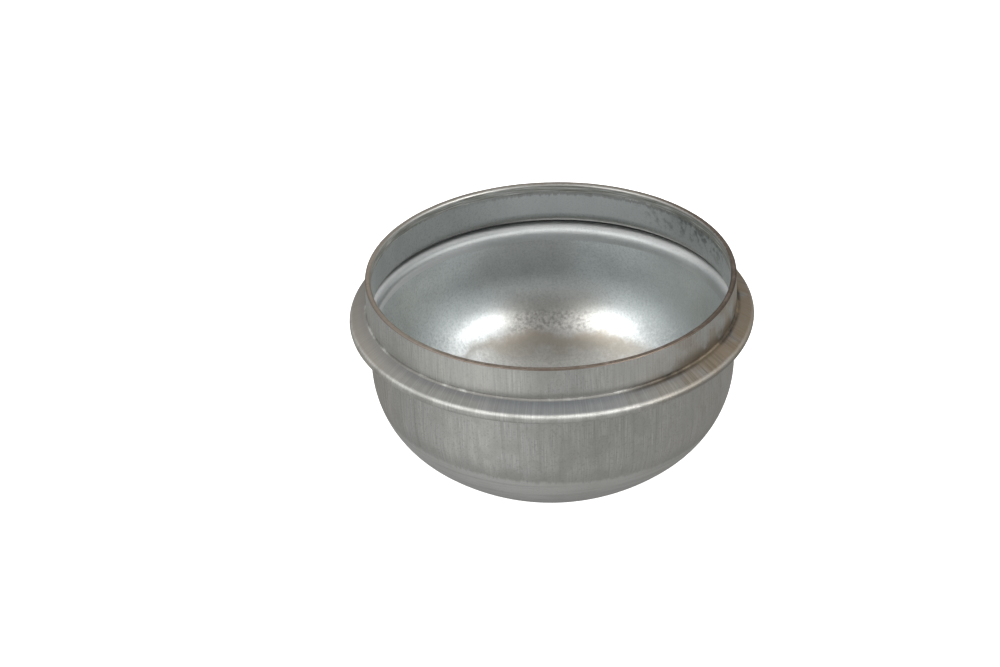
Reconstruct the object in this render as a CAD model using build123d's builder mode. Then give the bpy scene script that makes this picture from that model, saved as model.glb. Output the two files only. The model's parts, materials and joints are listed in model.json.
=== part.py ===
"""Hub grease cap: one blank of zinc-plated steel sheet, drawn into a domed bowl.

The open collar presses into the hub bore. A closed hem, folded out of the same sheet and pressed to
a slope on top, makes the flange that stops the cap at the mouth of the bore. The cap stands on its
nose, mouth up, so +Z runs from the nose to the rim of the collar, and the origin is the middle of
the nose flat.
"""

import os
from math import cos, radians, sin, sqrt, tan

from build123d import *

# Driving dimensions, in millimetres and degrees
sheet = 1.0                # thickness of the drawn sheet
collar_diameter = 64.0     # outside of the collar, the press fit in the hub
collar_height = 5.9        # rim of the collar above the crease where the flange meets it
flange_width = 3.0         # how far the folded bead stands out from the collar, all round
flange_slope = 28.0        # fall of the flange's pressed upper face, from the collar to the bead
crease_radius = 0.6        # corner where that face meets the collar
hem_gap = 0.2              # slit left between the two layers of the hem
neck_radius = 1.8          # inside of the bend from the collar into the hem
root_radius = 1.2          # outside of the bend from the hem into the bowl wall
bowl_step = 0.3            # how far the bowl wall stands in from the collar, all round
wall_length = 6.8          # straight drawn wall below the flange
wall_draft = 1.5           # taper of that wall to each side
knuckle_radius = 17.9      # outside radius where the wall turns into the dome
knuckle_end = 47.0         # slope of the surface normal, below level, where the knuckle ends
nose_diameter = 14.0       # flat at the middle of the dome
rim_round = 0.3            # outer edge of the trimmed rim, the lead-in of the press fit
rim_break = 0.4            # inner edge of the trimmed rim

# The flange and the bowl are drawn out of the collar's own wall, so they follow its diameter
flange_diameter = collar_diameter + 2 * flange_width
bowl_diameter = collar_diameter - 2 * bowl_step

# Radii across the section
collar_radius = collar_diameter / 2
flange_radius = flange_diameter / 2
bowl_radius = bowl_diameter / 2
nose_radius = nose_diameter / 2
hem_height = 2 * sheet + hem_gap
bead_radius = hem_height / 2

# The wall leans inwards by the draft, and its outward normal points down by as much
wall_lean = sin(radians(wall_draft))
wall_rise = cos(radians(wall_draft))
knuckle_level = cos(radians(knuckle_end))
knuckle_dip = sin(radians(knuckle_end))

# Dome, from the nose up: the crown is centred on the axis and runs tangent into the knuckle
knuckle_x = bowl_radius - wall_length * wall_lean - knuckle_radius * wall_rise
crown_radius = knuckle_x / knuckle_level + knuckle_radius
crown_z = sqrt(crown_radius**2 - nose_radius**2)
knuckle_z = crown_z - (crown_radius - knuckle_radius) * knuckle_dip

# Flange and rim, stacked on top of the wall
wall_bottom_z = knuckle_z - knuckle_radius * wall_lean
wall_top_z = wall_bottom_z + wall_length * wall_rise
root_x = bowl_radius + root_radius * wall_rise
root_z = wall_top_z - root_radius * wall_lean
hem_bottom_z = root_z + root_radius
hem_middle_z = hem_bottom_z + bead_radius
bead_x = flange_radius - bead_radius

# The flange's upper face leaves the bead at its slope and meets the collar in a crease
slope_x = bead_x + bead_radius * sin(radians(flange_slope))
slope_z = hem_middle_z + bead_radius * cos(radians(flange_slope))
crease_z = slope_z + (slope_x - collar_radius) * tan(radians(flange_slope))
crease_x = collar_radius + crease_radius
crease_top_z = crease_z + crease_radius * tan(radians(90 - flange_slope) / 2)
rim_z = crease_z + collar_height


def hem_outside():
    """Outside of the collar and the hem, from the rim round the bead."""
    crease_turn = 90 - flange_slope
    Line((collar_radius, rim_z), (collar_radius, crease_top_z))
    crease = CenterArc((crease_x, crease_top_z), crease_radius, 180, crease_turn)
    Line(crease @ 1, (slope_x, slope_z))
    CenterArc((bead_x, hem_middle_z), bead_radius, crease_turn, -90 - crease_turn)


def hem_inside():
    """Inside of the collar and both faces of the slit, from the rim round the fold."""
    collar_x = collar_radius - sheet
    fold = bead_radius - sheet
    neck_x = collar_x + neck_radius
    neck_z = hem_middle_z + fold + neck_radius
    Line((collar_x, rim_z), (collar_x, neck_z))
    neck = CenterArc((neck_x, neck_z), neck_radius, 180, 90)
    Line(neck @ 1, (bead_x, hem_middle_z + fold))
    CenterArc((bead_x, hem_middle_z), fold, 90, -180)


def bowl_side(depth):
    """One side of the sheet from the bead to the axis, at a depth below the cap's outside."""
    fold = bead_radius - depth
    root = root_radius + depth
    knuckle = knuckle_radius - depth
    crown = crown_radius - depth
    nose_x = sqrt(crown**2 - (crown_z - depth) ** 2)

    Line((bead_x, hem_middle_z - fold), (root_x, hem_middle_z - fold))
    CenterArc((root_x, root_z), root, 90, 90 - wall_draft)
    wall_top = (root_x - root * wall_rise, root_z + root * wall_lean)
    wall_bottom = (knuckle_x + knuckle * wall_rise, knuckle_z - knuckle * wall_lean)
    Line(wall_top, wall_bottom)
    CenterArc((knuckle_x, knuckle_z), knuckle, -wall_draft, wall_draft - knuckle_end)
    crown_start = (crown * knuckle_level, crown_z - crown * knuckle_dip)
    RadiusArc(crown_start, (nose_x, depth), crown)
    Line((nose_x, depth), (0, depth))


# Grease cap: the section of the folded sheet, turned about the axis
with BuildPart() as grease_cap:
    with BuildSketch(Plane.XZ) as section:
        with BuildLine():
            hem_outside()
            bowl_side(0)
            hem_inside()
            bowl_side(sheet)
            Line((collar_radius, rim_z), (collar_radius - sheet, rim_z))
            Line((0, 0), (0, sheet))
        make_face()
        rim_corners = section.vertices().group_by(Axis.Y)[-1].sort_by(Axis.X)
        fillet(rim_corners[-1], rim_round)
        rim_corners = section.vertices().group_by(Axis.Y)[-1].sort_by(Axis.X)
        fillet(rim_corners[0], rim_break)
    revolve(axis=Axis.Z)

grease_cap.part.label = "grease_cap"

os.makedirs("parts", exist_ok=True)
export_step(grease_cap.part, "parts/grease_cap.step")
print(f"height {rim_z:.2f} mm, crown radius {crown_radius:.2f} mm, volume {grease_cap.part.volume:.0f} mm3")
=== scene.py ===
import json
from math import asin, ceil, cos, degrees, pi, radians, sin, sqrt, tan

import bmesh
import bpy
from mathutils import Matrix, Vector


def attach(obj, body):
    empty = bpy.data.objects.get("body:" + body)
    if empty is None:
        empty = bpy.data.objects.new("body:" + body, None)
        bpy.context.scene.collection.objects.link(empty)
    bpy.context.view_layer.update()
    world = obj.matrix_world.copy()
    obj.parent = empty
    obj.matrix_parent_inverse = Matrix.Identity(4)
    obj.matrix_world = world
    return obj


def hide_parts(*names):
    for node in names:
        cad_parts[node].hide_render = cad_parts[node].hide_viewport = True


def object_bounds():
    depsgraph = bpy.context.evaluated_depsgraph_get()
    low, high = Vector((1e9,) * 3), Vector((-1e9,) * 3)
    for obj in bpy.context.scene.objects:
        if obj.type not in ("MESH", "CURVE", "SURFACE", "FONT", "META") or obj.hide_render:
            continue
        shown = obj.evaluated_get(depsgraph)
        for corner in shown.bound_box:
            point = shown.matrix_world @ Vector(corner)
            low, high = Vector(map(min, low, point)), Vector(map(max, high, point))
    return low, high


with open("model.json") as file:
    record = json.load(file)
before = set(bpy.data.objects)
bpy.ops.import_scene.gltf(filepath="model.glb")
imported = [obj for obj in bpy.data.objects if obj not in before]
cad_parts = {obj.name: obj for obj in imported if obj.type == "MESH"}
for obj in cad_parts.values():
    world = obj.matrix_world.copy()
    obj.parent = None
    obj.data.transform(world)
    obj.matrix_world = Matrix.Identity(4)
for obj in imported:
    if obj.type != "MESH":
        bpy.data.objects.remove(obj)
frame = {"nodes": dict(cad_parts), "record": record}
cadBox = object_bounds()
mm = 0.001

print("frame loaded:", sorted(frame["nodes"]))


def hexToLinear(code):  # sRGB hex to the linear RGBA that shader sockets take
    channels = [int(code[i:i + 2], 16) / 255 for i in (1, 3, 5)]
    return [c / 12.92 if c <= 0.04045 else ((c + 0.055) / 1.055) ** 2.4 for c in channels] + [1.0]


def addNode(tree, kind, settings=None, plugs=None):  # plugs: a socket is linked, anything else is set
    node = tree.nodes.new(kind)
    for name, value in (settings or {}).items():
        setattr(node, name, value)
    for key, value in (plugs or {}).items():
        if isinstance(value, bpy.types.NodeSocket):
            tree.links.new(value, node.inputs[key])
        else:
            node.inputs[key].default_value = value
    return node


# Sheet section of the cap, in millimetres, read from the rim down both sides of the sheet
capSizes = {
    "sheet": 1.0,           # thickness of the drawn steel
    "hemGap": 0.2,          # slit between the two layers of the flange
    "neckRadius": 1.8,      # inside, where the collar turns out into the flange
    "rootRadius": 1.2,      # outside, where the flange turns down into the wall
    "flangeSlope": 28.0,    # degrees that the pressed upper face falls to the bead
    "creaseRadius": 0.6,    # corner where that face meets the collar
    "bowlStep": 0.3,        # bowl wall inside the collar
    "wallLength": 6.8,      # straight wall under the flange
    "wallDraft": 1.5,       # its taper in degrees
    "kneeRadius": 17.9,     # outside, where the wall turns into the dome
    "kneeEnd": 47.0,        # degrees below level where the knee runs out
    "noseDiameter": 14.0,   # flat that the cap stands on
    "rimRound": 0.3,        # outer edge of the trimmed rim
    "rimBreak": 0.4,        # its inner edge
    "segments": 384,        # steps around the axis
    "longStep": 0.9,        # longest step along the sheet
    "turnStep": 9.0,        # longest step around a bend, in degrees
    "sheetWaver": 0.02,     # how far the drawn sheet wanders from its true form
    "swellWidth": 9.0,      # from one swell of the sheet to the next
    "restZone": (0.5, 4.0),  # heights over which the swells come in, so that the nose flat stays flat
    "rimWaver": 0.10,       # how far the trimmed rim goes up and down
    "nickWidth": 3.2,       # from one nick of the rim to the next
    "rimZone": 1.2,         # how far down from the rim the nicks reach
    "seed": 4.0,
}


def runTo(points, end):  # straight run, with the steps that it needs
    start = points[-1]
    across = end[0] - start[0]
    rise = end[1] - start[1]
    steps = max(1, ceil(sqrt(across**2 + rise**2) / capSizes["longStep"]))
    for i in range(1, steps + 1):
        points.append((start[0] + across * i / steps, start[1] + rise * i / steps))


def turnTo(points, centre, radius, fromAngle, toAngle):  # arc about a centre, angles in degrees
    sweep = abs(toAngle - fromAngle)
    steps = max(ceil(sweep / capSizes["turnStep"]), ceil(radians(sweep) * radius / capSizes["longStep"]))
    for i in range(0, steps + 1):
        angle = radians(fromAngle + (toAngle - fromAngle) * i / steps)
        point = (centre[0] + radius * cos(angle), centre[1] + radius * sin(angle))
        if sqrt((point[0] - points[-1][0])**2 + (point[1] - points[-1][1])**2) > 1e-6:
            points.append(point)


def sheetSide(depth, levels):  # one side of the sheet from the top of the collar to the axis
    size = capSizes
    fold = levels["bead"] - depth
    root = size["rootRadius"] + depth
    knee = size["kneeRadius"] - depth
    crown = levels["crownRadius"] - depth
    collarX = levels["collarRadius"] - depth
    noseX = sqrt(crown**2 - (levels["crownZ"] - depth)**2)
    beadMiddle = (levels["beadX"], levels["hemZ"])
    draft = radians(size["wallDraft"])
    points = [(collarX, levels["rimZ"] - (size["rimBreak"] if depth else size["rimRound"]))]
    if depth:  # inside, the fold is pressed flat down to its slit
        neckMiddle = (collarX + size["neckRadius"], levels["hemZ"] + fold + size["neckRadius"])
        runTo(points, (collarX, neckMiddle[1]))
        turnTo(points, neckMiddle, size["neckRadius"], 180, 270)
        runTo(points, (beadMiddle[0], levels["hemZ"] + fold))
        turnTo(points, beadMiddle, fold, 90, -90)
    else:  # outside, the upper face falls away to the bead
        crease = size["creaseRadius"]
        creaseRise = crease * tan(radians(45 - size["flangeSlope"] / 2))
        creaseMiddle = (collarX + crease, levels["creaseZ"] + creaseRise)
        runTo(points, (collarX, creaseMiddle[1]))
        turnTo(points, creaseMiddle, crease, 180, 270 - size["flangeSlope"])
        runTo(points, levels["beadTop"])
        turnTo(points, beadMiddle, fold, 90 - size["flangeSlope"], -90)
    runTo(points, (levels["rootX"], levels["hemZ"] - fold))
    turnTo(points, (levels["rootX"], levels["rootZ"]), root, 90, 180 - size["wallDraft"])
    runTo(points, (levels["kneeX"] + knee * cos(draft), levels["kneeZ"] - knee * sin(draft)))
    turnTo(points, (levels["kneeX"], levels["kneeZ"]), knee, -size["wallDraft"], -size["kneeEnd"])
    turnTo(points, (0, levels["crownZ"]), crown, -size["kneeEnd"], degrees(asin(noseX / crown)) - 90)
    runTo(points, (0, depth))
    return points


def capLevels(record, box):  # heights and radii that the section turns about
    size = capSizes
    mounts = {m["name"]: m for m in record["mounts"]}
    draft = radians(size["wallDraft"])
    kneeEnd = radians(size["kneeEnd"])
    slope = radians(size["flangeSlope"])
    collarRadius = mounts["collar"]["dims"]["r_mm"]
    bead = size["sheet"] + size["hemGap"] / 2
    beadX = box[1].x / mm - bead
    bowlRadius = collarRadius - size["bowlStep"]
    kneeX = bowlRadius - size["wallLength"] * sin(draft) - size["kneeRadius"] * cos(draft)
    crownRadius = kneeX / cos(kneeEnd) + size["kneeRadius"]
    crownZ = sqrt(crownRadius**2 - (size["noseDiameter"] / 2)**2)
    kneeZ = crownZ - (crownRadius - size["kneeRadius"]) * sin(kneeEnd)
    wallTop = kneeZ - size["kneeRadius"] * sin(draft) + size["wallLength"] * cos(draft)
    rootZ = wallTop - size["rootRadius"] * sin(draft)
    hemZ = rootZ + size["rootRadius"] + bead
    beadTop = (beadX + bead * sin(slope), hemZ + bead * cos(slope))
    return {
        "collarRadius": collarRadius, "rimZ": box[1].z / mm, "bead": bead, "hemZ": hemZ, "beadX": beadX,
        "beadTop": beadTop, "creaseZ": beadTop[1] + (beadTop[0] - collarRadius) * tan(slope),
        "rootX": bowlRadius + size["rootRadius"] * cos(draft), "rootZ": rootZ,
        "kneeX": kneeX, "kneeZ": kneeZ, "crownRadius": crownRadius, "crownZ": crownZ,
    }


def sectionMesh(levels):  # open chain of edges, nose inside, over the rim, nose outside
    size = capSizes
    outside = sheetSide(0, levels)
    inside = sheetSide(size["sheet"], levels)
    rim = [outside[0]]
    outer = (levels["collarRadius"] - size["rimRound"], levels["rimZ"] - size["rimRound"])
    turnTo(rim, outer, size["rimRound"], 0, 90)
    inner = (levels["collarRadius"] - size["sheet"] + size["rimBreak"], levels["rimZ"] - size["rimBreak"])
    runTo(rim, (inner[0], levels["rimZ"]))
    turnTo(rim, inner, size["rimBreak"], 90, 180)
    chain = inside[::-1] + rim[-2:0:-1] + outside
    region = [3 if z < levels["rootZ"] else 2 for x, z in inside[::-1]]  # bowl, then neck
    region += [1] * (len(rim) - 2) + [0] * len(outside)  # rim, then outside
    mesh = bpy.data.meshes.new("capSection")
    railRadius = levels["collarRadius"]
    mesh.from_pydata([((x - railRadius) * mm, -z * mm, 0) for x, z in chain],
                     [(i, i + 1) for i in range(len(chain) - 1)], [])
    mesh.attributes.new("region", "FLOAT", "POINT").data.foreach_set("value", region)
    return mesh


def turnedCapTree(materials):  # turns the section about the axis and lets sheet and rim waver
    size = capSizes
    tree = bpy.data.node_groups.new("turnedCap", "GeometryNodeTree")
    inputs = {"Section": "Geometry", "Rail Radius": "Float", "Segments": "Int", "Sheet Waver": "Float",
              "Rim Waver": "Float", "Rim Height": "Float", "Seed": "Float"}
    for name, kind in inputs.items():
        tree.interface.new_socket(name, in_out="INPUT", socket_type="NodeSocket" + kind)
    tree.interface.new_socket("Cap", in_out="OUTPUT", socket_type="NodeSocketGeometry")
    sizes = addNode(tree, "NodeGroupInput").outputs
    profile = addNode(tree, "GeometryNodeMeshToCurve", plugs={"Mesh": sizes["Section"]})
    circle = addNode(tree, "GeometryNodeCurvePrimitiveCircle", {"mode": "RADIUS"},
                     {"Resolution": sizes["Segments"], "Radius": sizes["Rail Radius"]})
    rail = addNode(tree, "GeometryNodeSetCurveNormal", {"mode": "Z_UP"}, {"Curve": circle.outputs["Curve"]})
    turned = addNode(tree, "GeometryNodeCurveToMesh",
                     plugs={"Curve": rail.outputs["Curve"], "Profile Curve": profile.outputs["Curve"]})
    closed = addNode(tree, "GeometryNodeMergeByDistance",
                     plugs={"Geometry": turned.outputs["Mesh"], "Distance": 1e-6})

    place = addNode(tree, "GeometryNodeInputPosition").outputs["Position"]
    height = addNode(tree, "ShaderNodeSeparateXYZ", plugs={"Vector": place}).outputs["Z"]
    wander = {}
    for waver, width, detail, roughness in (("Sheet Waver", size["swellWidth"], 2.0, 0.5),
                                            ("Rim Waver", size["nickWidth"], 3.0, 0.6)):
        noise = addNode(tree, "ShaderNodeTexNoise", {"noise_dimensions": "4D"},
                        {"Vector": place, "W": sizes["Seed"], "Scale": 1 / (width * mm),
                         "Detail": detail, "Roughness": roughness})
        evened = addNode(tree, "ShaderNodeMath", {"operation": "SUBTRACT"}, {0: noise.outputs["Fac"], 1: 0.5})
        sized = addNode(tree, "ShaderNodeMath", {"operation": "MULTIPLY"},
                        {0: evened.outputs[0], 1: sizes[waver]})
        wander[waver] = sized.outputs[0]
    flat, free = size["restZone"]
    rest = addNode(tree, "ShaderNodeMapRange",
                   plugs={"Value": height, "From Min": flat * mm, "From Max": free * mm})
    held = addNode(tree, "ShaderNodeMath", {"operation": "MULTIPLY"},
                   {0: wander["Sheet Waver"], 1: rest.outputs["Result"]})
    normal = addNode(tree, "GeometryNodeInputNormal").outputs["Normal"]
    bulge = addNode(tree, "ShaderNodeVectorMath", {"operation": "SCALE"},
                    {"Vector": normal, "Scale": held.outputs[0]})
    belowRim = addNode(tree, "ShaderNodeMath", {"operation": "SUBTRACT"}, {0: sizes["Rim Height"], 1: height})
    nearRim = addNode(tree, "ShaderNodeMapRange",
                      plugs={"Value": belowRim.outputs[0], "From Min": size["rimZone"] * mm, "From Max": 0.0})
    nicked = addNode(tree, "ShaderNodeMath", {"operation": "MULTIPLY"},
                     {0: wander["Rim Waver"], 1: nearRim.outputs["Result"]})
    lift = addNode(tree, "ShaderNodeCombineXYZ", plugs={"Z": nicked.outputs[0]})
    move = addNode(tree, "ShaderNodeVectorMath", {"operation": "ADD"},
                   {0: bulge.outputs["Vector"], 1: lift.outputs["Vector"]})
    shape = addNode(tree, "GeometryNodeSetPosition",
                    plugs={"Geometry": closed.outputs["Geometry"], "Offset": move.outputs["Vector"]})

    smooth = addNode(tree, "GeometryNodeSetShadeSmooth", plugs={"Geometry": shape.outputs["Geometry"]})
    last = addNode(tree, "GeometryNodeRealizeInstances", plugs={"Geometry": smooth.outputs["Geometry"]})
    region = addNode(tree, "GeometryNodeInputNamedAttribute", {"data_type": "FLOAT"}, {"Name": "region"})
    for i, material in enumerate(materials):  # outside, rim, neck, bowl: each takes over from its region up
        chosen = addNode(tree, "FunctionNodeCompare", {"data_type": "FLOAT", "operation": "GREATER_THAN"},
                         {"A": region.outputs["Attribute"], "B": i - 0.5})
        last = addNode(tree, "GeometryNodeSetMaterial",
                       plugs={"Geometry": last.outputs["Geometry"], "Selection": chosen.outputs["Result"],
                              "Material": material})
    addNode(tree, "NodeGroupOutput", plugs={"Cap": last.outputs["Geometry"]})
    return tree


def makeCap(record, box, materials):
    levels = capLevels(record, box)
    cap = bpy.data.objects.new("greaseCap", sectionMesh(levels))
    bpy.context.scene.collection.objects.link(cap)
    tree = turnedCapTree(materials)
    modifier = cap.modifiers.new("turnedCap", "NODES")
    modifier.node_group = tree
    values = {
        "Rail Radius": levels["collarRadius"] * mm, "Segments": capSizes["segments"],
        "Sheet Waver": capSizes["sheetWaver"] * mm, "Rim Waver": capSizes["rimWaver"] * mm,
        "Rim Height": levels["rimZ"] * mm, "Seed": capSizes["seed"],
    }
    for item in tree.interface.items_tree:
        if item.name in values:
            modifier[item.identifier] = values[item.name]
    bpy.context.view_layer.update()
    shown = cap.evaluated_get(bpy.context.evaluated_depsgraph_get())
    mesh = bpy.data.meshes.new_from_object(shown)
    cap.modifiers.remove(modifier)
    cap.data = mesh
    mesh.name = "greaseCap"
    check = bmesh.new()
    check.from_mesh(mesh)
    print(f"cap: {len(mesh.polygons)} faces, volume {check.calc_volume(signed=True) / mm**3:.0f} mm3,",
          f"open edges {sum(e.is_boundary for e in check.edges)}")
    check.free()
    return cap


# Ways that marks run on the sheet: the radius that they are spread around, and their share of the height
markRuns = {
    "upright": (32.0, 0.035),
    "around": (1.2, 1.0),
}


def startMetal(name, roughness):  # a plain metal, and its places on the cap in millimetres
    material = bpy.data.materials.new(name)
    material.use_nodes = True
    tree = material.node_tree
    shader = tree.nodes["Principled BSDF"]
    shader.inputs["Metallic"].default_value = 1.0
    shader.inputs["Roughness"].default_value = roughness
    metres = addNode(tree, "ShaderNodeTexCoord").outputs["Object"]
    place = addNode(tree, "ShaderNodeVectorMath", {"operation": "SCALE"}, {"Vector": metres, "Scale": 1 / mm})
    axes = addNode(tree, "ShaderNodeSeparateXYZ", plugs={"Vector": place.outputs["Vector"]}).outputs
    level = addNode(tree, "ShaderNodeCombineXYZ", plugs={"X": axes["X"], "Y": axes["Y"]}).outputs["Vector"]
    reach = addNode(tree, "ShaderNodeVectorMath", {"operation": "LENGTH"}, {0: level})
    outwards = addNode(tree, "ShaderNodeVectorMath", {"operation": "NORMALIZE"}, {0: level})
    # side counts to the right, away to the back, and reach from the axis
    where = {"place": place.outputs["Vector"], "side": axes["X"], "away": axes["Y"], "height": axes["Z"],
             "reach": reach.outputs["Value"]}
    for run, (girth, rise) in markRuns.items():
        turn = addNode(tree, "ShaderNodeVectorMath", {"operation": "SCALE"},
                       {"Vector": outwards.outputs["Vector"], "Scale": girth})
        drop = addNode(tree, "ShaderNodeMath", {"operation": "MULTIPLY"}, {0: axes["Z"], 1: rise})
        fall = addNode(tree, "ShaderNodeCombineXYZ", plugs={"Z": drop.outputs[0]})
        both = addNode(tree, "ShaderNodeVectorMath", {"operation": "ADD"},
                       {0: turn.outputs["Vector"], 1: fall.outputs["Vector"]})
        where[run] = both.outputs["Vector"]
    return material, tree, shader, where


def speckles(tree, where, plan):  # name: (place, millimetres across one mark, detail), all as noise
    marks = {}
    for name, (run, across, detail) in plan.items():
        noise = addNode(tree, "ShaderNodeTexNoise", plugs={
            "Vector": where[run], "Scale": 1 / across, "Detail": detail, "Roughness": 0.55})
        marks[name] = noise.outputs["Fac"]
    return marks


def masked(tree, *spans):  # product of soft steps: each is (value, where it is 0, where it is 1)
    last = None
    for value, zero, one in spans:
        step = addNode(tree, "ShaderNodeMapRange", {"interpolation_type": "SMOOTHSTEP"},
                       {"Value": value, "From Min": zero, "From Max": one}).outputs["Result"]
        if last is not None:
            step = addNode(tree, "ShaderNodeMath", {"operation": "MULTIPLY"}, {0: last, 1: step}).outputs[0]
        last = step
    return last


def layered(tree, shader, colour, layers):  # lays each colour over the last, by its mask and its share
    last = hexToLinear(colour)
    for mask, share, code in layers:
        amount = addNode(tree, "ShaderNodeMath", {"operation": "MULTIPLY"}, {0: mask, 1: share})
        mix = addNode(tree, "ShaderNodeMix", {"data_type": "RGBA"},
                      {0: amount.outputs[0], 6: last, 7: hexToLinear(code)})  # 6 and 7 are its two colours
        last = mix.outputs[2]
    tree.links.new(last, shader.inputs["Base Color"])


def ragged(tree, value, mark, depth):  # a height or radius that a mark pushes up and down
    push = addNode(tree, "ShaderNodeMapRange", plugs={
        "Value": mark, "From Min": 0.25, "From Max": 0.75, "To Min": -depth, "To Max": depth})
    moved = addNode(tree, "ShaderNodeMath", {"operation": "ADD"}, {0: value, 1: push.outputs["Result"]})
    return moved.outputs[0]


# Finish outside: zinc-plated steel sheet, drawn through a die. Satin grey, scored up and down by the draw,
# so that lamps smear sideways over it
outsideLook = {
    "zinc": "#cecfcb",
    "markWidth": 0.2,       # millimetres from one fine draw mark to the next
    "scoreWidth": 0.7,      # and from one deeper score to the next
    "bandWidth": 4.0,       # and from one broad band to the next
    "cloudWidth": 4.0,
    "grain": 0.35,
    "marksEnd": 15.6,       # height where the die let go in front, with a ragged edge
    "marksTilt": 0.05,      # how fast that edge falls to the right
    "rag": 0.5,             # how ragged it is
    "wall": (30.5, 29.0),   # heights where the wall comes out from under the flange
    "bead": (30.4, 31.2),   # heights where the bead starts
    "beadReach": (33.6, 34.0),  # and radii
    "flange": (32.2, 33.3),  # heights of the flange's upper face, from the bead to the crease
    "crease": 33.55,        # height of that crease, darkened there with dirt and painted shade
    "collar": 32.2,         # radius past which the flange starts
    "brown": (27.0, 34.0),  # heights over which a brown tint comes in on the right
    "roughness": 0.43,
    "wornRoughness": 0.60,  # on the bead and in the crease
    "sideways": 0.55,       # anisotropy of the scoring
    "markDepth": 0.002,     # depth of the scoring
}


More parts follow.
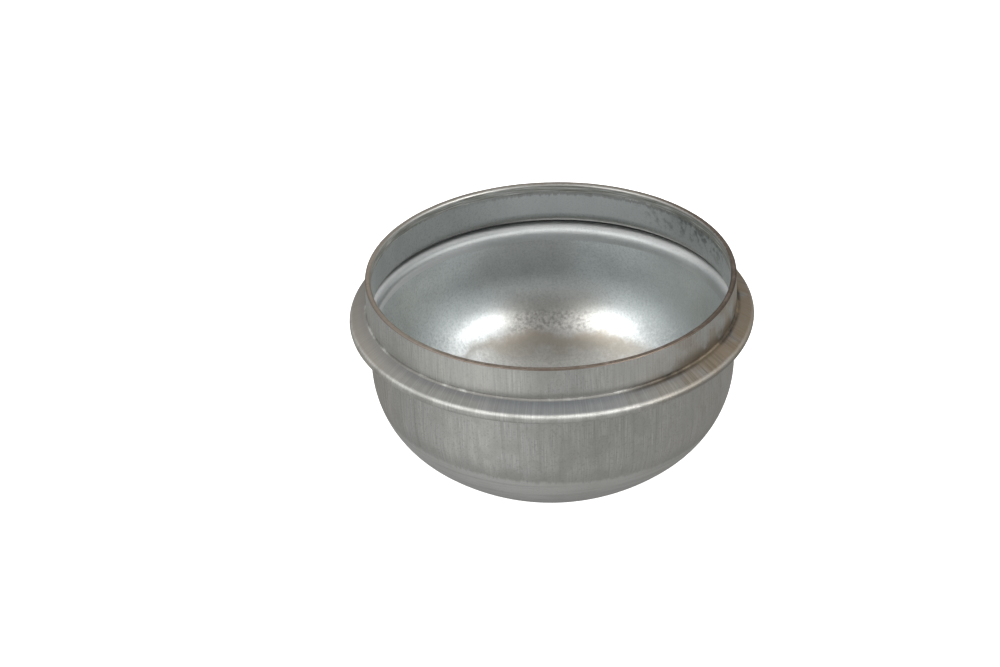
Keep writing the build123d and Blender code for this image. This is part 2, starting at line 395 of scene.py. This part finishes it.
def drawnZinc():
    look = outsideLook
    material, tree, shader, where = startMetal("drawnZincPlate", look["roughness"])
    height, side, reach = where["height"], where["side"], where["reach"]
    marks = speckles(tree, where, {
        "fine": ("upright", look["markWidth"], 2.0), "score": ("upright", look["scoreWidth"], 3.0),
        "band": ("upright", look["bandWidth"], 2.0), "cloud": ("place", look["cloudWidth"], 5.0),
        "grain": ("place", look["grain"], 2.0), "rub": ("around", look["scoreWidth"], 3.0)})
    fine, score, cloud = marks["fine"], marks["score"], marks["cloud"]
    level = addNode(tree, "ShaderNodeMath", {"operation": "MULTIPLY_ADD"},
                    {0: side, 1: look["marksTilt"], 2: height})
    edge = ragged(tree, level.outputs[0], score, look["rag"])
    end = look["marksEnd"]
    drawn = (edge, end - 0.5, end + 0.5)
    nose = (edge, end + 0.5, end - 0.5)
    fading = (cloud, 0.32, 0.62)
    browning = (cloud, 0.30, 0.62)
    brushed = (fine, 0.05, 0.62)
    low, high = look["flange"]
    out = look["collar"]
    foot = look["crease"]
    onFlange = [(height, low - 0.3, low), (height, high + 0.3, high), (reach, out, out + 0.2)]
    onBead = [(height, *look["bead"]), (height, low + 0.1, low - 0.3), (reach, *look["beadReach"])]
    inCrease = (reach, out + 0.8, out + 0.4)
    onCrease = [(height, high - 0.1, high + 0.1), (height, high + 0.8, high + 0.5), inCrease]
    aboveFoot = (height, foot + 0.1, foot + 0.4)
    onCollar = (height, foot + 0.4, foot + 1.0)
    layered(tree, shader, look["zinc"], [
        # draw marks, bands and clouds
        (masked(tree, (fine, 0.52, 0.34), drawn, fading), 0.32, "#a3a29e"),
        (masked(tree, (fine, 0.52, 0.68), drawn, fading), 0.45, "#eeede9"),
        (masked(tree, (score, 0.46, 0.30), drawn), 0.32, "#a09f9a"),
        (masked(tree, (marks["band"], 0.48, 0.66), drawn), 0.28, "#e2e1db"),
        (masked(tree, (marks["grain"], 0.50, 0.30)), 0.38, "#a0a09c"),
        (masked(tree, (cloud, 0.52, 0.34)), 0.36, "#b0afa9"),
        # greyer just above the edge of the draw marks, with a paler, rubbed nose below it
        (masked(tree, (level.outputs[0], end + 4.0, end + 0.4), drawn), 0.30, "#a5a5a1"),
        (masked(tree, nose), 0.45, "#ebebe8"),
        (masked(tree, nose, (marks["rub"], 0.50, 0.36)), 0.25, "#aaa9a5"),
        # two painted highlights on the collar, laid along its draw marks
        (masked(tree, onCollar, (side, -32.0, -18.0), (side, 2.0, -9.0), brushed), 0.42, "#efeee8"),
        (masked(tree, onCollar, (side, 2.0, 12.0), (side, 26.0, 18.0), brushed), 0.36, "#efeee8"),
        # painted shade: the wall darker to the right
        (masked(tree, (side, -8.0, 6.0), (height, *look["wall"])), 0.18, "#8d8981"),
        # flange: dull, painted shade towards the crease, bluish in front, pale at its left end, brown and
        # scored at its right
        (masked(tree, *onFlange), 0.78, "#9f9e9a"),
        # painted shade: darker towards the crease
        (masked(tree, *onFlange, (height, low + 0.3, high - 0.1)), 0.60, "#828488"),
        (masked(tree, *onFlange, (side, -17.0, -5.0), (side, 20.0, 5.0)), 0.40, "#9da4ad"),
        (masked(tree, *onFlange, (fine, 0.52, 0.38)), 0.18, "#8f8e8a"),
        (masked(tree, *onFlange, (fine, 0.52, 0.66)), 0.11, "#eae9e5"),
        (masked(tree, *onFlange, (score, 0.48, 0.34), fading), 0.25, "#85837e"),
        (masked(tree, *onFlange, (side, -22.0, -34.0)), 0.45, "#d4cdc2"),
        (masked(tree, *onFlange, (side, 20.0, 29.0), (cloud, 0.26, 0.50)), 0.55, "#a08a70"),
        (masked(tree, *onFlange, (side, 16.0, 26.0), (score, 0.52, 0.36)), 0.38, "#6f655a"),
        (masked(tree, *onFlange, (side, 20.0, 26.0), (side, 31.0, 26.0), (score, 0.58, 0.42)),
         0.55, "#6f6b64"),
        # dirt and painted shade in the crease, painted shade on the collar just above it, and dirt blotches
        # on the collar's lower right
        (masked(tree, (height, foot - 0.35, foot - 0.1), (height, foot + 0.35, foot + 0.1), inCrease,
                (cloud, 0.66, 0.48)), 0.70, "#74716b"),
        # dirt and painted shade: very dark in the crease on the right
        (masked(tree, (height, high - 0.3, high), (height, foot + 0.7, foot + 0.3),
                (reach, out + 0.9, out + 0.6), (side, 9.0, 18.0)), 0.88, "#2e2a26"),
        # painted shade: darker just above the crease, fading out towards the left
        (masked(tree, (height, foot + 1.6, foot + 0.4), aboveFoot, (side, -26.0, 0.0)), 0.45, "#95928b"),
        (masked(tree, (height, foot + 3.0, foot + 0.8), aboveFoot, (side, 15.0, 25.0), (cloud, 0.30, 0.52)),
         0.72, "#4f4a45"),
        # brown tint on the right, and a little at the far left
        (masked(tree, (side, 4.0, 36.0), browning, (height, *look["brown"])), 0.55, "#9d8e79"),
        (masked(tree, (side, 10.0, 36.0), browning), 0.30, "#a08f74"),
        (masked(tree, (side, -24.0, -32.0), (height, 33.0, 31.0)), 0.30, "#b5a68f"),
        # bead: painted highlight in front; to the right a dull brown-grey, partly stain and partly painted
        # shade that dims its highlight
        # painted highlight
        (masked(tree, *onBead, (side, -33.0, -20.0), (side, 28.0, 12.0)), 0.22, "#f1f0ec"),
        # brown-grey stain and painted shade
        (masked(tree, *onBead, (side, 8.0, 24.0)), 0.60, "#857c70"),
        (masked(tree, *onBead, (cloud, 0.54, 0.40)), 0.25, "#8f8d88"),
    ])
    worn = addNode(tree, "ShaderNodeMath", {"operation": "ADD"},
                   {0: masked(tree, *onBead), 1: masked(tree, *onCrease)})
    rough = addNode(tree, "ShaderNodeMapRange", plugs={
        "Value": worn.outputs[0], "To Min": look["roughness"], "To Max": look["wornRoughness"]})
    tree.links.new(rough.outputs["Result"], shader.inputs["Roughness"])
    shader.inputs["Anisotropic"].default_value = look["sideways"]
    around = addNode(tree, "ShaderNodeTangent", {"direction_type": "RADIAL", "axis": "Z"})
    tree.links.new(around.outputs["Tangent"], shader.inputs["Tangent"])
    bump = addNode(tree, "ShaderNodeBump",
                   plugs={"Strength": 0.5, "Distance": look["markDepth"] * mm, "Height": score})
    tree.links.new(bump.outputs["Normal"], shader.inputs["Normal"])
    return material


# Finish of the rim: bare steel where the sheet was trimmed. Dull tan between two brown edges, darker on the
# right, with a painted reflection that greys it at the back
rimLook = {
    "steel": "#9f9387",
    "tear": 0.7,            # millimetres from one tear to the next
    "streak": 2.5,          # and from one pale streak to the next
    "rag": 0.10,            # how far the tears push the brown edges about
    "edges": (31.25, 31.72),  # radii of the two brown edges
    "plating": 31.2,        # radius where the plating comes over the inner edge
    "roughness": 0.46,
    "tearDepth": 0.03,      # depth of the tears
}


def trimmedSteel():
    look = rimLook
    material, tree, shader, where = startMetal("trimmedBareSteel", look["roughness"])
    side, away = where["side"], where["away"]
    marks = speckles(tree, where, {
        "tear": ("place", look["tear"], 4.0), "streak": ("upright", look["streak"], 3.0)})
    tear = marks["tear"]
    reach = ragged(tree, where["reach"], tear, look["rag"])
    inner, outer = look["edges"]
    plating = look["plating"]
    layered(tree, shader, look["steel"], [
        (masked(tree, (marks["streak"], 0.46, 0.64)), 0.50, "#d0c5b8"),
        (masked(tree, (tear, 0.46, 0.66)), 0.50, "#86776a"),
        (masked(tree, (reach, outer - 0.08, outer + 0.08), (away, 8.0, -8.0)), 0.60, "#6e6259"),
        (masked(tree, (reach, inner + 0.10, inner - 0.06)), 0.60, "#756b63"),
        (masked(tree, (side, 2.0, 28.0)), 0.55, "#64574d"),  # dark on the right
        (masked(tree, (side, -12.0, -28.0)), 0.55, "#c2b8ab"),  # pale on the left
        # painted reflection: greyer at the back
        (masked(tree, (away, 4.0, 16.0), (side, 26.0, 12.0)), 0.55, "#a9a69e"),  # grey at the back
        (masked(tree, (reach, plating + 0.05, plating - 0.08), (away, -4.0, 8.0)), 0.70, "#c4c4c0"),
    ])
    bump = addNode(tree, "ShaderNodeBump",
                   plugs={"Strength": 0.7, "Distance": look["tearDepth"] * mm, "Height": tear})
    tree.links.new(bump.outputs["Normal"], shader.inputs["Normal"])
    return material


# Finish of the neck, inside: the same plating, drawn over the punch. Cool grey, with fine upright lines that
# carry a lamp's light along the shoulder, trimming rings at the rim, old grease on the lip, and painted shade
# and highlights about the slit
neckLook = {
    "zinc": "#c8cbca",
    "line": 0.3,            # millimetres from one upright line to the next
    "ring": 0.22,           # and from one trimming ring to the next
    "tooth": 0.55,          # and from one tooth of a ragged edge to the next
    "blot": 1.1,            # and across one blot
    "cloud": 6.0,
    "grain": 0.35,
    "strip": 37.6,          # height where the trimming rings start
    "stripRag": 0.35,       # how ragged the strip's lower edge is
    "lip": (31.4, 32.9),    # heights of the bend above the slit, brown with grease
    "lipRag": 0.25,         # how ragged the lip's upper edge is
    "slit": 31.2,           # height of the slit, darkened around it by painted shade
    "slitReach": (32.65, 32.9),  # radii where the shoulder goes into the slit
    "roughness": 0.54,
    "sideways": 0.65,       # anisotropy of the upright lines
    "lineDepth": 0.003,     # depth of those lines
}


def neckZinc():
    look = neckLook
    material, tree, shader, where = startMetal("zincPlateNeck", look["roughness"])
    height, side, away = where["height"], where["side"], where["away"]
    marks = speckles(tree, where, {
        "line": ("upright", look["line"], 2.0), "tooth": ("upright", look["tooth"], 3.0),
        "ring": ("around", look["ring"], 2.0), "cloud": ("place", look["cloud"], 5.0),
        "blot": ("place", look["blot"], 4.0), "grain": ("place", look["grain"], 2.0)})
    ring, blot = marks["ring"], marks["blot"]
    top = look["strip"]
    stripEdge = ragged(tree, height, marks["tooth"], look["stripRag"])
    strip = (stripEdge, top - 0.1, top + 0.25)
    lipFoot, lipTop = look["lip"]
    lipEdge = ragged(tree, height, marks["tooth"], look["lipRag"])
    slit = look["slit"]
    overSlit = (height, slit, slit + 0.1)
    underSlit = (height, slit, slit - 0.1)
    layered(tree, shader, look["zinc"], [
        # plating, with painted light making it paler at the back above the lip
        (masked(tree, (marks["cloud"], 0.54, 0.36)), 0.28, "#b4b9b9"),
        (masked(tree, (marks["grain"], 0.50, 0.32)), 0.42, "#a4a8a9"),
        (masked(tree, (marks["line"], 0.50, 0.34)), 0.12, "#a9adad"),
        # painted light
        (masked(tree, (height, lipTop + 0.2, lipTop + 0.8), (side, -16.0, -4.0), (side, 26.0, 16.0)),
         0.38, "#ffffff"),
        # shoulder under the slit: painted highlight along its top and where it meets the bowl, painted shade
        # at both ends and across its middle on the left
        # painted highlight along the top, and lower down in the middle and on the right
        (masked(tree, (height, slit - 1.0, slit - 0.3), underSlit), 0.75, "#ffffff"),
        (masked(tree, (height, slit - 1.4, slit - 1.8), (side, -20.0, 0.0)), 0.35, "#ffffff"),
        # painted shade at both ends, and across the middle on the left
        (masked(tree, underSlit, (side, -17.0, -26.0)), 0.30, "#8b8f8f"),
        (masked(tree, underSlit, (side, 23.0, 29.0)), 0.42, "#8b8f8f"),
        (masked(tree, (height, slit - 0.4, slit - 1.0), (height, slit - 2.1, slit - 1.3), (side, 0.0, -14.0)),
         0.46, "#747878"),
        # painted highlight where it meets the bowl, on the left
        (masked(tree, (height, slit - 1.5, slit - 2.2), (side, -6.0, -18.0)), 0.75, "#ffffff"),
        # dark blots on the right
        (masked(tree, (blot, 0.46, 0.72), (side, 12.0, 20.0), (away, 4.0, 12.0),
                (height, slit + 2.2, slit + 3.2), (height, top + 0.8, top - 0.4)), 0.55, "#858887"),
        (masked(tree, (blot, 0.40, 0.60), (side, 21.0, 24.0), (away, 6.0, 12.0),
                (height, top - 2.6, top - 1.4), (height, top + 1.2, top + 0.2)), 0.45, "#5f6261"),
        # trimming rings, with a dark lower edge
        (masked(tree, strip), 0.60, "#a8a59d"),
        (masked(tree, strip, (ring, 0.50, 0.66)), 0.75, "#f4f4f0"),
        (masked(tree, strip, (ring, 0.48, 0.34)), 0.65, "#8d8a80"),
        (masked(tree, (stripEdge, top - 0.6, top - 0.2), (stripEdge, top + 0.3, top),
                (side, -22.0, -2.0)), 0.45, "#7c7b74"),
        # grease on the lip, and painted shade just above the slit and in it
        (masked(tree, (lipEdge, lipTop + 0.15, lipTop - 0.15), (height, lipFoot - 0.1, lipFoot),
                (side, -24.0, -6.0)), 0.25, "#a79f90"),
        # painted shade
        (masked(tree, overSlit, (height, slit + 0.8, slit + 0.4)), 0.35, "#6c6d6a"),
        (masked(tree, overSlit, (height, slit + 1.6, slit + 0.6), (side, 2.0, -12.0)), 0.80, "#4a4d4c"),
        (masked(tree, overSlit, (height, slit + 0.5, slit + 0.2)), 0.80, "#3f4243"),
        (masked(tree, underSlit, (where["reach"], *look["slitReach"])), 0.85, "#3f4243"),
    ])
    shader.inputs["Anisotropic"].default_value = look["sideways"]
    around = addNode(tree, "ShaderNodeTangent", {"direction_type": "RADIAL", "axis": "Z"})
    tree.links.new(around.outputs["Tangent"], shader.inputs["Tangent"])
    bump = addNode(tree, "ShaderNodeBump",
                   plugs={"Strength": 0.3, "Distance": look["lineDepth"] * mm, "Height": marks["line"]})
    tree.links.new(bump.outputs["Normal"], shader.inputs["Normal"])
    return material


# Finish of the bowl, inside: the same plating, pressed by a smooth punch. Cooler and more of a mirror,
# frosted low down, where the sheet was stretched
bowlLook = {
    "zinc": "#dee3e3",
    "grain": 0.35,          # millimetres across one grain of the plating
    "frost": 0.6,           # and across one fleck of the frosting
    "cloud": 6.0,
    "frostTop": (13.0, 19.0),   # heights where the frosting is strong, and where it is gone
    "speckle": (11.9, 14.6),    # heights of a band with stronger flecks
    "stain": (7.4, 12.4),       # heights of a brown patch towards the back
    "stainRag": 1.4,        # how ragged it is
    "shade": (18.0, 22.0),  # heights where painted shade comes in at the middle of the back
    "top": 28.9,            # height where the neck starts
    "roughness": 0.45,      # up there
    "roughLow": 0.32,       # roughness at the bottom
    "grainDepth": 0.008,    # depth of the grain
}


def bowlZinc():
    look = bowlLook
    material, tree, shader, where = startMetal("zincPlateBowl", look["roughness"])
    height, side, away = where["height"], where["side"], where["away"]
    marks = speckles(tree, where, {
        "grain": ("place", look["grain"], 2.0), "frost": ("place", look["frost"], 3.0),
        "cloud": ("place", look["cloud"], 5.0)})
    grain, frost, cloud = marks["grain"], marks["frost"], marks["cloud"]
    strong, gone = look["frostTop"]
    frosted = (height, gone, strong)
    low, high = look["speckle"]
    speckled = [(height, low - 0.6, low + 0.4), (height, high + 0.6, high - 0.4), (away, 4.0, 12.0),
                (side, -10.0, -5.0), (side, 10.0, 5.0)]
    foot, top = look["stain"]
    stained = ragged(tree, height, cloud, look["stainRag"])
    behind = (away, 0.0, 8.0)
    browned = [behind, (side, -18.0, -6.0), (side, 22.0, 9.0)]
    layered(tree, shader, look["zinc"], [
        # plating, with painted shade in the middle of the back, and darker on the right
        (masked(tree, (grain, 0.50, 0.32)), 0.26, "#a2a6a6"),
        (masked(tree, (grain, 0.50, 0.68)), 0.26, "#ffffff"),
        (masked(tree, (cloud, 0.54, 0.36)), 0.20, "#b4b9b9"),
        # painted shade
        (masked(tree, (height, *look["shade"]), (away, 10.0, 16.0), (side, -19.0, -6.0), (side, 8.0, 0.0)),
         0.38, "#958f88"),
        (masked(tree, (side, 13.0, 23.0)), 0.48, "#a8adad"),
        # frosting
        (masked(tree, (frost, 0.50, 0.32), frosted), 0.22, "#a0a3a3"),
        (masked(tree, (frost, 0.50, 0.68), frosted), 0.40, "#fbfcfb"),
        # brown patch, with a warm tint above it
        (masked(tree, (stained, foot + 0.6, foot + 3.2), (stained, top - 0.2, top - 2.0), behind,
                (side, -25.0, -14.0), (side, 28.0, 16.0)), 0.54, "#928e88"),
        (masked(tree, (height, foot - 2.4, foot - 0.4), (stained, top, top - 2.0), *browned),
         0.32, "#dccfb8"),
        (masked(tree, (stained, foot + 0.4, foot + 3.6), (stained, top + 0.6, top - 1.8), *browned),
         0.22, "#b8a68c"),
        (masked(tree, (height, foot + 2.0, foot + 4.0), (height, top + 10.0, top + 3.0), (away, 6.0, 14.0),
                (side, -13.0, -5.0), (side, 13.0, 5.0)), 0.40, "#cbbfb0"),
        # stronger flecks
        (masked(tree, (frost, 0.50, 0.36), *speckled), 0.34, "#8a857d"),
        (masked(tree, (frost, 0.50, 0.64), *speckled), 0.44, "#faf6ef"),
    ])
    rough = addNode(tree, "ShaderNodeMapRange", plugs={
        "Value": height, "From Min": strong, "From Max": look["top"],
        "To Min": look["roughLow"], "To Max": look["roughness"]})
    tree.links.new(rough.outputs["Result"], shader.inputs["Roughness"])
    bump = addNode(tree, "ShaderNodeBump",
                   plugs={"Strength": 0.25, "Distance": look["grainDepth"] * mm, "Height": grain})
    tree.links.new(bump.outputs["Normal"], shader.inputs["Normal"])
    return material


metals = [drawnZinc(), trimmedSteel(), neckZinc(), bowlZinc()]
cap = makeCap(frame["record"], cadBox, metals)
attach(cap, "root")
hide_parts("grease_cap")
print("cap made")


# Camera, fitted to the photograph's 1000 by 667 frame
cameraSizes = {
    "elevation": 30.358,      # degrees above the rim's plane
    "roll": -1.555,
    "distance": 0.768,        # metres from the point that it was fitted to
    "lens": 160.65,           # millimetres, as is the sensor's width
    "sensor": 36,
    "aimHeight": 0.03902,     # that point on the axis, just under the rim
    "aimPixel": (550.57, 273.93),
    "frameSize": (1000, 667),
    "clip": (0.05, 50),       # metres
}


def makeCamera():
    size = cameraSizes
    camera = bpy.data.objects.new("photoCamera", bpy.data.cameras.new("photoCamera"))
    bpy.context.scene.collection.objects.link(camera)
    camera.data.sensor_width = size["sensor"]
    camera.data.lens = size["lens"]
    up = radians(size["elevation"])
    roll = radians(size["roll"])
    back = Vector((0, -cos(up), sin(up)))
    right = Vector((1, 0, 0))
    above = back.cross(right)
    rolledRight = right * cos(roll) + above * sin(roll)
    rolledUp = above * cos(roll) - right * sin(roll)
    straight = Matrix((rolledRight, rolledUp, back)).transposed()
    width, height = size["frameSize"]
    focal = size["lens"] / size["sensor"] * width
    aimX, aimY = size["aimPixel"]
    aim = Vector(((aimX - width / 2) / focal, -(aimY - height / 2) / focal, -1))
    turn = aim.rotation_difference(Vector((0, 0, -1))).to_matrix()
    place = Vector((0, 0, size["aimHeight"])) + back * size["distance"]
    camera.matrix_world = Matrix.Translation(place) @ (straight @ turn).to_4x4()
    camera.data.clip_start, camera.data.clip_end = size["clip"]
    bpy.context.scene.camera = camera


makeCamera()
print("camera made")


# White board that the cap stands on. It glows, so that no shadow shows, and the metal doesn't mirror it
floorLook = {
    "white": "#f4f4f4",
    "half": 3.0,              # metres from its middle to an edge
    "roughness": 0.9,
    "glow": 1.0,
}


def makeFloor():
    look = floorLook
    half = look["half"]
    corners = [(-half, -half, 0), (half, -half, 0), (half, half, 0), (-half, half, 0)]
    mesh = bpy.data.meshes.new("whiteBoard")
    mesh.from_pydata(corners, [], [(0, 1, 2, 3)])
    floor = bpy.data.objects.new("whiteBoard", mesh)
    bpy.context.scene.collection.objects.link(floor)
    material = bpy.data.materials.new("matteWhiteBoard")
    material.use_nodes = True
    shader = material.node_tree.nodes["Principled BSDF"]
    shader.inputs["Base Color"].default_value = hexToLinear(look["white"])
    shader.inputs["Roughness"].default_value = look["roughness"]
    shader.inputs["Emission Color"].default_value = (1, 1, 1, 1)
    shader.inputs["Emission Strength"].default_value = look["glow"]
    mesh.materials.append(material)
    floor.visible_glossy = False
    floor.visible_shadow = False


makeFloor()
print("floor made")

# Soft studio: two wide boxes in front, each with a bright core, and pale grey all round, white to the camera
studioSizes = {
    "boxes": {  # azimuth and elevation in degrees, width and height in degrees, brightness
        "leftBox": (-52, 36, 56, 42, 0.72),
        "leftCore": (-44, 26, 26, 28, 4.0),
        "rightBox": (57, 37, 52, 40, 0.56),
        "rightCore": (51, 20, 32, 26, 6.6),
    },
    "boxDistance": 0.9,
    # from straight down to straight up
    "greys": ((0.0, 0.44), (0.30, 0.37), (0.47, 0.22), (0.60, 0.25), (0.85, 0.23), (1.0, 0.25)),
    "glows": (  # paler and darker parts of the room: azimuth, elevation, sharpness, brightness
        (-45, -32, 12, 0.38),    # board in front, on the left
        (60, -32, 12, 0.04),     # and on the right
        (-100, 46, 10, 0.64),    # wall on the left
        (95, 46, 10, 0.68),      # wall on the right
        (-178, 62, 10, 0.66),    # ceiling behind
        (180, -40, 6, -0.20),    # floor behind
    ),
}


def pointing(azimuth, elevation):  # azimuth 0 is the camera's side, and counts to its right
    a = radians(azimuth)
    e = radians(elevation)
    return Vector((sin(a) * cos(e), -cos(a) * cos(e), sin(e)))


def makeStudio():
    size = studioSizes
    world = bpy.data.worlds.new("paleStudio")
    bpy.context.scene.world = world
    world.use_nodes = True
    tree = world.node_tree
    heading = addNode(tree, "ShaderNodeTexCoord").outputs["Generated"]
    axes = addNode(tree, "ShaderNodeSeparateXYZ", plugs={"Vector": heading}).outputs
    rise = addNode(tree, "ShaderNodeMapRange", plugs={"Value": axes["Z"], "From Min": -1.0})
    greys = addNode(tree, "ShaderNodeValToRGB", plugs={"Fac": rise.outputs["Result"]})
    ramp = greys.color_ramp
    while len(ramp.elements) < len(size["greys"]):
        ramp.elements.new(0.5)
    for element, (position, grey) in zip(ramp.elements, size["greys"]):
        element.position = position
        element.color = (grey, grey, grey, 1)
    bright = greys.outputs["Color"]
    for azimuth, elevation, sharpness, brightness in size["glows"]:
        towards = addNode(tree, "ShaderNodeVectorMath", {"operation": "DOT_PRODUCT"},
                          {0: heading, 1: pointing(azimuth, elevation)})
        facing = addNode(tree, "ShaderNodeMath", {"operation": "MAXIMUM"},
                         {0: towards.outputs["Value"], 1: 0.0})
        lobe = addNode(tree, "ShaderNodeMath", {"operation": "POWER"}, {0: facing.outputs[0], 1: sharpness})
        glow = addNode(tree, "ShaderNodeMath", {"operation": "MULTIPLY_ADD"},
                       {0: lobe.outputs[0], 1: brightness, 2: bright})
        bright = glow.outputs[0]
    room = addNode(tree, "ShaderNodeBackground", plugs={"Color": (1, 1, 1, 1), "Strength": bright})
    white = addNode(tree, "ShaderNodeBackground", plugs={"Color": (1, 1, 1, 1), "Strength": 1.0})
    seen = addNode(tree, "ShaderNodeLightPath").outputs["Is Camera Ray"]
    both = addNode(tree, "ShaderNodeMixShader", plugs={0: seen, 1: room.outputs[0], 2: white.outputs[0]})
    tree.links.new(both.outputs[0], tree.nodes["World Output"].inputs["Surface"])
    for name, (azimuth, elevation, width, height, brightness) in size["boxes"].items():
        lamp = bpy.data.lights.new(name, "AREA")
        lamp.shape = "RECTANGLE"
        lamp.size = 2 * size["boxDistance"] * tan(radians(width / 2))
        lamp.size_y = 2 * size["boxDistance"] * tan(radians(height / 2))
        lamp.energy = brightness * pi * lamp.size * lamp.size_y
        light = bpy.data.objects.new(name, lamp)
        bpy.context.scene.collection.objects.link(light)
        light.location = pointing(azimuth, elevation) * size["boxDistance"]
        light.rotation_mode = "QUATERNION"
        light.rotation_quaternion = light.location.to_track_quat("Z", "Y")
    bpy.context.scene.view_settings.view_transform = "Standard"


makeStudio()
print("studio made")
